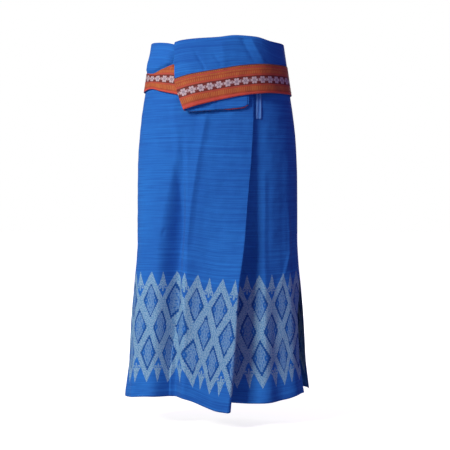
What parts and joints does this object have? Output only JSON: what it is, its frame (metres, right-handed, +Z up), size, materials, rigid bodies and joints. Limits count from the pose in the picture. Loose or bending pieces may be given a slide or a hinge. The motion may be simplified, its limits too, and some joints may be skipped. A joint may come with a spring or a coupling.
{
  "type": "worn maxi wrap skirt",
  "caption": "Ankle-length woven wrap skirt in its worn, hollow form, with a front lap, a turned-down waist with a patterned ribbon, a tie and a side slit.",
  "frame": {"origin": "in the middle of the waist, on the height of the tie that holds the skirt up", "axes": "+Z up along the wearer's height, -Y towards the front, +X towards the side with the slit"},
  "size_m": [0.4606, 0.2932, 0.9029],
  "materials": {
    "blue_cloth": "plain-woven cotton with slubs and a pale grey-blue lattice border above the hem",
    "woven_ribbon": "woven ribbon, orange bands round a maroon band of pale flowers, coral selvedge",
    "tie_cloth": "the same cotton, folded into a flat strap with stitched edges"
  },
  "bodies": {
    "root": {"front_overlap": "blue_cloth", "lap_inside": "blue_cloth", "front_underlap": "blue_cloth", "back_panel": "blue_cloth", "ribbon_left": "woven_ribbon", "ribbon_lap": "woven_ribbon", "ribbon_front": "woven_ribbon", "ribbon_back": "woven_ribbon", "waist_tie": "tie_cloth", "tie_end": "tie_cloth"}
  },
  "joints": []
}
